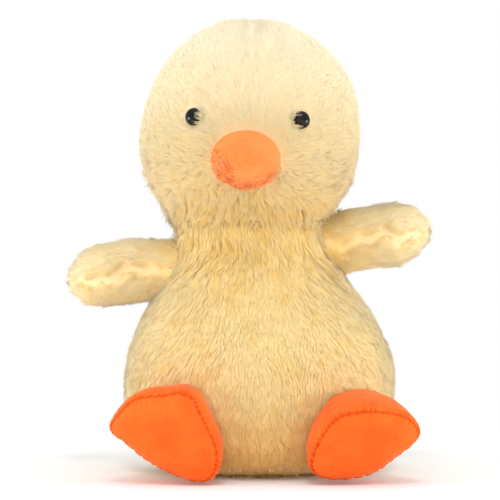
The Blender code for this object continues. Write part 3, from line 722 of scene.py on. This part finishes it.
def beak_form(turn, share):
    """A blunt cone from inside the face to its tip: width = (1 - s^1.7)^(1/1.7), drooping with s
    squared, drawn in a little along the seams at both sides and narrower underneath."""
    s = share * 1.2 - 0.2
    width = (1 - np.clip(s, 0, 1) ** 1.7) ** (1 / 1.7)
    seam = bell(np.sin(turn), 0.10)
    x = beak_half_width * width * np.cos(turn) * (1 - 0.02 * seam)
    x *= 1 - 0.12 * np.minimum(np.sin(turn), 0) ** 4
    z = beak_half_height * width * np.sin(turn) - beak_drop
    skin = head_ball - head_pile_depth - 1 * mm
    base = -np.sqrt(np.maximum(skin**2 - x**2 - np.minimum(z, 0) ** 2, 0))
    s_out = np.clip((share - 0.1) / 0.9, 0, 1)
    y = base + (beak_tip - base) * s_out + seam * width * 0.4 * mm
    lump = 0.35 * mm * drift(join(x, y, z), 14 * mm, 8)
    lump *= np.sin(np.pi * np.clip(share, 0, 1))
    z -= beak_tip_drop * np.clip(s, 0, 1) ** 2
    return on_head(join(x, y, z + lump))


def velour(name, bright, deep):
    """Orange velour: very short dense pile with a soft sheen. Two noises mix its colour in brushed
    patches, and a finer pair makes the bump of its nap."""
    finish, place = start_material(
        name, 0.85, Sheen_Weight=0.35, Sheen_Roughness=0.4, Sheen_Tint=(1.0, 0.55, 0.3, 1),
        Specular_IOR_Level=0.15)
    patches = noise(place, 55.0)
    fine = noise(place, 520.0, 3.0, 0.65)
    colour = (patches.within(0.32, 0.68) * 0.55 + fine.within(0.3, 0.7) * 0.45).mix(deep, bright)
    link(finish, "Base Color", colour)
    bump(finish, fine * 0.6 + noise(place, 1500.0) * 0.4, 0.55, 0.7 * mm)
    return finish


def sewn(root, seam=0.04):
    """Holds the seams at both sides, up to that sine of the turn, and the root up to its share."""
    return lambda turn, share: (np.abs(np.sin(turn)) < seam) | (share < root)


beak_finish = velour("light orange velour", tint(247, 146, 80), tint(235, 120, 54))
beak_form = stuffed("beak_cover", beak_form, 64, 30, sewn(0.25), cap=0.8 * mm)
beak_cloth = closed_skin("beak_cloth", beak_form, 160, even(90))
dress(beak_cloth, beak_finish, "head", ("beak_upper_panel", "beak_lower_panel"))

nap_finish, nap_place = start_material("long orange nap", 0.85, Specular_IOR_Level=0.1)
nap_lit_along, nap_shade = strand_values(nap_place)
# Painted shade deep in the nap: its roots are darker orange, with random shade from strand to strand.
nap_light = (nap_lit_along * 0.8 + nap_shade * 0.5).within(0.0, 1.0)
link(nap_finish, "Base Color", nap_light.mix(tint(232, 104, 40), tint(252, 160, 98)))
nap_span = (math.pi - 0.4, full_turn - 0.45)
_, _, points, normals, way = scatter(beak_form, nap_span, (0.35, 0.97), 1600, 61)
length = (4.0 + 0.6 * drift(points, 12 * mm, 62)) * mm
beak_nap = grow("beak_nap", points, normals, -way, length, 61, 10.0, 0.6, 0.2 * mm, 6)
dress(beak_nap, nap_finish, "head")

# Wings
# Flat padded paddles of the same plush, an upper and a lower panel with a seam round the edge that
# draws the pile apart. The root is sewn into the body's side.
wing_length = 59.8 * mm
wing_half_height = 19.5 * mm
wing_half_depth = 25.0 * mm
wing_pile_depth = 1.8 * mm
wing_inside = 14 * mm
wing_tip = wing_length - wing_pile_depth + 1 * mm
wing_strand = 6.8 * mm
wing_strands = 9000
wing_sides = {
    "left": (-1, np.array([-56.466, 0, 122.5]) * mm, math.radians(5), -3.0 * mm),
    "right": (1, np.array([43.07, 0, 138.0]) * mm, math.radians(-5), 2.5 * mm),
}
high_places, high_shares = [0, 0.3, 0.6, 0.8, 0.92, 0.98, 1], [0.9, 0.96, 1, 0.9, 0.66, 0.36, 0]
deep_places, deep_shares = [0, 0.25, 0.55, 0.78, 0.92, 0.98, 1], [0.72, 0.86, 1, 0.94, 0.7, 0.38, 0]


def wander(out, sign):
    """How far the seam strays from the middle of the wing's edge, in two sine waves along it."""
    return 0.12 * np.sin(out * 9 + sign) + 0.05 * np.sin(out * 23)


def wing_form(side, turn, share):
    """An oval section, x along the wing, with half sizes that follow the paddle's outline. Its root
    starts inside the body. The seam at front and back is drawn in, and so is the tip, which curls
    up or down with the square of the distance."""
    sign, hinge, droop, curl = wing_sides[side]

    x = -wing_inside + (wing_tip + wing_inside) * share
    out = np.clip(x / wing_tip, 0, 1)
    high = np.interp(out, high_places, high_shares)
    deep = np.interp(out, deep_places, deep_shares)
    rounded = np.sqrt(np.maximum(1 - out**5, 0))
    high, deep = (0.35 * size + 0.65 * size * rounded for size in (high, deep))
    root = eased(share, 0, 0.08)
    seam = bell(np.sin(turn) + wander(out, sign), 0.16) * eased(out, -0.1, 0.2)
    seam *= 1 - 0.6 * eased(out, 0.6, 0.9)
    y = (wing_half_depth - wing_pile_depth) * deep * np.cos(turn) * root * (1 - 0.17 * seam)
    z = (wing_half_height - wing_pile_depth) * high * np.sin(sign * turn) * root
    x = x - 1.2 * mm * bell(z, 3.0 * mm) * eased(out, 0.86, 1)
    lump = 0.8 * mm * drift(join(x, y, z), 24 * mm, 41 + sign) * root * rounded
    z = z + lump * np.sign(np.sin(sign * turn)) * (1 - seam) + curl * out**2
    ahead = sign * (x * math.cos(droop) + z * math.sin(droop))
    return hinge + join(ahead, y, z * math.cos(droop) - x * math.sin(droop))


for side, (sign, hinge, _, _) in wing_sides.items():
    form = stuffed(f"wing_{side}_cover", functools.partial(wing_form, side), 64, 44,
                   sewn(0.16), cap=1.4 * mm, slack=0.035)
    cloth = closed_skin(f"wing_{side}_cloth", form, 96, even(100))
    panels = (f"wing_{side}_upper_panel", f"wing_{side}_lower_panel")
    dress(cloth, cloth_finish, stands_for=panels)
    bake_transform(cloth)
    for half, span in (("upper", (0, math.pi)), ("lower", (math.pi, full_turn))):
        seed = 50 + 4 * (sign > 0) + 2 * (half == "upper")
        if sign < 0:
            span = (-span[1], -span[0])
        turn, share, points, normals, way = scatter(form, span, (0.075, 0.99), wing_strands, seed)
        out = (share * (wing_length + 12 * mm) - wing_inside) / wing_length
        near_seam = bell(np.sin(turn) + wander(out, sign), 0.26) * (1 - eased(share, 0.85, 0.95))
        above = np.sign(np.sin(sign * turn) + sign * wander(out, sign))
        flow = way + 0.9 * (near_seam * above)[:, None] * [0, 0, 1] + [0, 0.5, -0.25]
        length = (wing_strand + 0.6 * mm * drift(points, 30 * mm, seed)) * (1 - 0.35 * near_seam)
        slope, ruffle = 7 - 9 * near_seam, 0.2 - 0.15 * near_seam
        # Strands near the seam take painted shade, as a painted shadow in its crease.
        pile = grow(f"wing_{side}_{half}_pile", points, normals, flow, length, seed, slope, ruffle,
                    painted_shade=5 * near_seam)
        dress(pile, pile_finish)
        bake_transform(pile)

# Tail
# A short blunt tail on the back, two small panels of plush stuffed lightly and turned up.
tail_half_width = 19.0 * mm
tail_half_height = 12.0 * mm
tail_height = 47 * mm
tail_rise = 11 * mm
tail_start = 60 * mm
tail_length = 32 * mm
tail_strands, tail_strand = 5000, 7 * mm


def tail_form(turn, share):
    """A blunt cone from inside the back to its tip: width = (1 - s^1.5)^(1/1.5), rising with the
    square of s."""
    s = np.clip(share * 1.25 - 0.25, 0, 1)
    width = (1 - s**1.5) ** (1 / 1.5)
    x = -tail_half_width * width * np.cos(turn)
    z = tail_half_height * width * np.sin(turn) + tail_height + tail_rise * s * s
    y = tail_start + tail_length * share
    return join(x, y + 0 * x, z)


tail_form = stuffed("tail_cover", tail_form, 48, 24, sewn(0.3, seam=0.05), cap=1.0 * mm)
tail_cloth = closed_skin("tail_cloth", tail_form, 64, even(50))
dress(tail_cloth, cloth_finish, "torso", ("tail_upper_panel", "tail_lower_panel"))
for half, span, seed in (("upper", (0, math.pi), 71), ("lower", (math.pi, full_turn), 72)):
    _, _, points, normals, way = scatter(tail_form, span, (0.1, 0.9995), tail_strands, seed)
    length = np.full(tail_strands, tail_strand)
    pile = grow(f"tail_{half}_pile", points, normals, way, length, seed, 6.0, 0.3)
    dress(pile, pile_finish, "torso")

# Feet
# Thick webbed feet of orange velour: a rounded triangular sole that faces forwards and an upper
# behind it, back to the belly. The seam between them is puckered by its short stitches.
foot_half_width = 31.0 * mm
foot_half_height = 27.2 * mm
foot_depth = 50 * mm
sole_dome = 5.0 * mm
seam_share = 0.4
end_share = 0.85
upper_places, upper_sizes = [0, 0.08, 0.25, 0.45, 0.7, 0.85, 1], [1, 1.03, 1.005, 0.92, 0.75, 0.64, 0.5]
foot_sides = {
    "left": (-1, np.array([-55.6, -84, 27.8]) * mm, math.radians(13), math.radians(-12)),
    "right": (1, np.array([60.0, -84, 22.6]) * mm, math.radians(24), math.radians(12)),
}
foot_outlines = {
    "left": [
        (-0.99, 0.22), (-0.84, 0.48), (-0.68, 0.67), (-0.53, 0.81), (-0.29, 0.89), (0.09, 0.93),
        (0.34, 0.98), (0.58, 0.86), (0.7, 0.56), (0.86, 0.14), (0.97, -0.24), (0.95, -0.64),
        (0.79, -0.9), (0.55, -0.94), (0.23, -0.85), (-0.14, -0.65), (-0.45, -0.42), (-0.75, -0.12),
        (-0.94, 0.05),
    ],
    "right": [
        (1.0, 0.31), (0.8, 0.62), (0.48, 0.77), (0.08, 0.83), (-0.26, 0.8), (-0.54, 0.71),
        (-0.75, 0.42), (-0.91, 0.0), (-0.96, -0.41), (-0.78, -0.68), (-0.34, -0.77), (0.2, -0.64),
        (0.65, -0.25), (0.92, 0.05),
    ],
}


def closed_curve(points):
    """A smooth closed curve through points, by Catmull-Rom cubics. Its parameter is one full turn."""
    points = np.array(points, float)
    count = len(points)

    def curve(turn):
        place = np.mod(turn / full_turn, 1.0) * count
        first = np.floor(place).astype(int) % count
        part = (place - np.floor(place))[..., None]
        a, b, c, d = (points[(first + k) % count] for k in (-1, 0, 1, 2))
        square = 2 * a - 5 * b + 4 * c - d
        cubic = 3 * b - a - 3 * c + d
        return b + part / 2 * (c - a + part * (square + part * cubic))

    return curve


def outside_body(points):
    """How far, in half widths, points lie outside the body's outer form. Below zero is inside."""
    level = np.clip(points[..., 2] / neck_height, 0, 1)
    swell = np.interp(level, swell_places, swell_shares)
    ratio = belly_ratio + (1 - belly_ratio) * level**3
    across = np.hypot(points[..., 0] + head_lean * level**3, points[..., 1] / ratio)
    return across - (neck_half_width + belly_swell * swell)


def foot_form(side, turn, share):
    """From the middle of the sole out over its dome to the seam, then back round the upper to the
    belly and in over its end. The seam is a narrow crease, puckered in sine waves, with a plump
    edge."""
    sign, centre, pitch, foot_yaw = foot_sides[side]
    outline = closed_curve(foot_outlines[side])
    lean = spin(2, foot_yaw) @ spin(0, pitch)
    size = np.array([foot_half_width, foot_half_height])
    middle = centre + (lean @ np.array([0, 12 * mm, 0]))

    def at_depth(turn, part, scale):
        """The upper's outline, scaled, at a part of the foot's depth."""
        spread = np.interp(part, upper_places, upper_sizes)
        flat = outline(-sign * turn) * size * (spread * scale)[..., None]
        place = join(flat[..., 0], foot_depth * part, flat[..., 1])
        return place @ lean.T + centre

    def back_of(turn, scale):
        """The part of the depth where the upper meets the belly, found by halving."""
        near, far = np.zeros_like(turn), np.ones_like(turn)
        for _ in range(22):
            halfway = (near + far) / 2
            outside = outside_body(at_depth(turn, halfway, scale)) > 0.8 * mm
            near, far = np.where(outside, halfway, near), np.where(outside, far, halfway)
        return near

    turn, share = np.broadcast_arrays(np.asarray(turn, float), np.asarray(share, float))
    sole = share < seam_share
    across = np.clip(share / seam_share, 0, 1)
    flat = outline(-sign * turn) * size * across[..., None]
    rise = -sole_dome * (1 - across**3)
    front = join(flat[..., 0], rise, flat[..., 1]) @ lean.T + centre
    scale = np.where(share > end_share, (1 - share) / (1 - end_share), 1.0)
    back = back_of(turn, scale)
    along = np.clip((share - seam_share) / (end_share - seam_share), 0, 1) * back
    place = np.where(sole[..., None], front, at_depth(turn, along, scale))
    seam_gap = np.where(sole, (seam_share - share) * 75 * mm, (share - seam_share) * back * 110 * mm)
    crease = 1.6 * mm * bell(seam_gap, 0.8 * mm)
    wave = np.sin(turn * 38 + 3 * np.sin(turn * 5))
    pucker = 0.3 * mm * bell(seam_gap, 4.5 * mm) * wave
    plump = 1.1 * mm * bell(seam_gap, 9 * mm)
    return place + unit(middle - place) * (crease + pucker - plump)[..., None]


foot_finish = velour("orange velour", tint(248, 112, 38), tint(236, 88, 22))
stitch_finish, stitch_place = start_material(
    "orange sewing thread", 0.8, Specular_IOR_Level=0.1)
link(stitch_finish, "Base Color", noise(stitch_place, 2500.0).mix(tint(196, 70, 16), tint(224, 92, 28)))


def seam_stitches(name, form, count, seed):
    """Short stitches across a foot's seam. Each is a six-sided thread on a half circle from one
    side of the crease to the other, as wide as it stands high, and set askew."""
    rings, corners = 7, 6
    chance = np.random.default_rng(seed)
    turn = (np.arange(count) + chance.uniform(-0.2, 0.2, count)) / count * full_turn
    skew = chance.uniform(0.4, 0.9, count) * full_turn / count
    near, near_normal, _ = lie_of(form, turn, np.full(count, seam_share - 0.017))
    over, over_normal, _ = lie_of(form, turn + skew, np.full(count, seam_share + 0.032))
    way = unit(over - near)
    up = unit(near_normal + over_normal)
    span = np.linalg.norm(over - near, axis=1) / 2
    bow = np.linspace(0, np.pi, rings)
    line = (near + over)[:, None] / 2 - way[:, None] * (span[:, None] * np.cos(bow))[..., None]
    line += up[:, None] * (0.35 * mm * np.sin(bow) - 0.15 * mm)[None, :, None]
    across = unit(np.cross(way, up))
    round_thread = np.linspace(0, full_turn, corners, endpoint=False)
    thick = (0.26 * mm * np.sqrt(np.clip(np.sin(bow), 0.05, 1)))[None, :, None, None]
    spoke = across[:, None, None] * np.cos(round_thread)[:, None]
    spoke += up[:, None, None] * np.sin(round_thread)[:, None]
    points = (line[:, :, None] + spoke * thick).reshape(-1, 3)
    here = np.arange(count * rings * corners).reshape(count, rings, corners)
    beside = np.roll(here, -1, axis=2)
    quads = join(here[:, :-1], here[:, 1:], beside[:, 1:], beside[:, :-1]).reshape(-1, 4)
    return woven(name, points, [quads, here[:, 0], here[:, -1, ::-1]])


def held_foot(turn, share):
    """The seam and the end against the belly are held."""
    return (np.abs(share - seam_share) < 0.009) | (share > 0.82)


for side in foot_sides:
    form = stuffed(f"foot_{side}_cover", functools.partial(foot_form, side), 96, 60, held_foot,
                   cap=1.8 * mm, slack=0.035, calm=lambda share: eased(share, 0.02, 0.3), settle=0.15)
    rows = np.unique(np.concatenate([even(80), np.linspace(seam_share - 0.04, seam_share + 0.06, 40)]))
    cloth = closed_skin(f"foot_{side}_cloth", form, 300, rows)
    dress(cloth, foot_finish, f"foot_{side}", (
        f"foot_{side}_sole_panel", f"foot_{side}_upper_panel"))
    stitches = seam_stitches(f"foot_{side}_stitches", form, 76, 90 + (side == "right"))
    dress(stitches, stitch_finish, f"foot_{side}")

# Filling, pellet bag, washers and neck thread
# What the covers hold: white polyester fibre, a cotton bag of pellets, the eyes' washers, and the
# strong cream thread that closes the neck. Their forms are the CAD's own.
fibre_finish, fibre_place = start_material("white polyester fibre", 0.9, Sheen_Weight=0.3)
tangle = noise(fibre_place, 380.0, 6.0, 0.7)
link(fibre_finish, "Base Color", tangle.within(0.3, 0.7).mix((0.70, 0.70, 0.67, 1), (0.92, 0.92, 0.90, 1)))
bump(fibre_finish, tangle, 0.8, 2 * mm)

bag_finish, bag_place = start_material("grey cotton", 0.85)
weave = bag_place.node("TexWave", {"Vector": bag_place, "Scale": 260.0}, bands_direction="DIAGONAL")
link(bag_finish, "Base Color", weave.mix((0.42, 0.41, 0.38, 1), (0.58, 0.57, 0.53, 1)))
bump(bag_finish, weave, 0.4, 0.5 * mm)

washer_finish, washer_place = start_material("white washer plastic", 0.4)
washer_cloud = noise(washer_place, 400.0)
link(washer_finish, "Base Color", washer_cloud.mix((0.74, 0.74, 0.72, 1), (0.82, 0.82, 0.80, 1)))
link(washer_finish, "Roughness", noise(washer_place, 900.0) * 0.15 + 0.35)

thread_finish, thread_place = start_material("cream sewing thread", 0.75, Sheen_Weight=0.2)
thread_twist = noise(thread_place, 3000.0)
link(thread_finish, "Base Color", thread_twist.mix((0.72, 0.52, 0.26, 1), (0.88, 0.72, 0.45, 1)))

inner_finishes = {
    "_filling": fibre_finish, "pellet_bag": bag_finish, "washer": washer_finish,
    "neck_seam_thread": thread_finish,
}
for node_name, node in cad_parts.items():
    for inner, finish in inner_finishes.items():
        if inner in node_name:
            node.material_slots[0].material = finish

# Studio
# A white table under a white surround, soft light from above and in front, and a long lens level
# with the duck. Far from the duck the table fades to plain white for the camera alone.
floor_radius = 3
floor_corners = 96
plain_white = (1, 1, 1, 1)
floor_finish = bpy.data.materials.new("white studio floor")
floor_finish.use_nodes = True
floor_tree = floor_finish.node_tree
floor_value = Value(floor_tree)
floor_place = floor_value.node("TexCoord", output=3)
far = floor_value.node("VectorMath", {0: floor_place}, output=1, operation="LENGTH")
camera_ray = floor_value.node("LightPath", output=0)
white = floor_value.node("Emission", {"Color": plain_white, "Strength": 1.0})
matt = floor_value.node("BsdfDiffuse", {"Color": (0.92, 0.92, 0.92, 1)})
faded = far.within(0.16, 0.42) * camera_ray
floor_look = floor_value.node("MixShader", {0: faded, 1: matt, 2: white})
floor_tree.links.new(floor_look.socket, floor_tree.nodes["Material Output"].inputs["Surface"])

floor_turns = np.linspace(0, full_turn, floor_corners, endpoint=False)
floor_edge = floor_radius * join(np.cos(floor_turns), np.sin(floor_turns), 0 * floor_turns)
floor = woven("studio_floor", floor_edge, [np.arange(floor_corners)[None]], smooth=False)
floor.data.materials.append(floor_finish)

world = bpy.data.worlds.new("white surround")
world.use_nodes = True
world_tree = world.node_tree
world_value = Value(world_tree)
seen = world_value.node("LightPath", output=0)
sky = world_value.node("Background", {"Color": plain_white, "Strength": 0.94})
seen_white = world_value.node("Background", {"Color": plain_white, "Strength": 1.0})
surround = world_value.node("MixShader", {0: seen, 1: sky, 2: seen_white})
world_tree.links.new(surround.socket, world_tree.nodes["World Output"].inputs["Surface"])
scene.world = world


def lamp(name, place, aim, size, power):
    """A square soft box, tipped from straight down and then turned, so that it faces its aim."""
    data = bpy.data.lights.new(name, "AREA")
    data.size = size
    data.energy = power
    box = bpy.data.objects.new(name, data)
    box.location = place
    way = np.array(aim) - np.array(place)
    tipped = math.acos(-way[2] / np.linalg.norm(way))
    box.rotation_euler = (tipped, 0, math.atan2(way[0], -way[1]) + math.pi)
    scene.collection.objects.link(box)


duck_foot = (0, 0, 60 * mm)
lamp("overhead_soft_box", (-0.15, -0.45, 1.5), (0, 0, 0.12), 1.1, 2.2)
lamp("left_soft_box", (-1.1, -0.25, 0.04), duck_foot, 0.5, 8)
lamp("right_soft_box", (1.1, -0.25, 0.04), duck_foot, 0.5, 8)
lamp("low_front_soft_box", (0, -1.7, 0.22), duck_foot, 1.0, 4.5)
lamp("front_soft_box", (0, -1.0, 1.4), (0, 0, 0.15), 0.26, 4)

camera_distance = 2.0
camera_elevation = math.radians(2)
camera_aim = np.array([-6, 0, 133.05]) * mm
camera_way = np.array([0, -math.cos(camera_elevation), math.sin(camera_elevation)])
camera_data = bpy.data.cameras.new("camera")
camera_data.lens = 240
camera_data.sensor_width = 36
camera = bpy.data.objects.new("camera", camera_data)
camera.location = camera_aim + camera_distance * camera_way
camera.rotation_euler = (quarter - camera_elevation, 0, 0)
scene.collection.objects.link(camera)
scene.camera = camera
scene.view_settings.view_transform = "Standard"
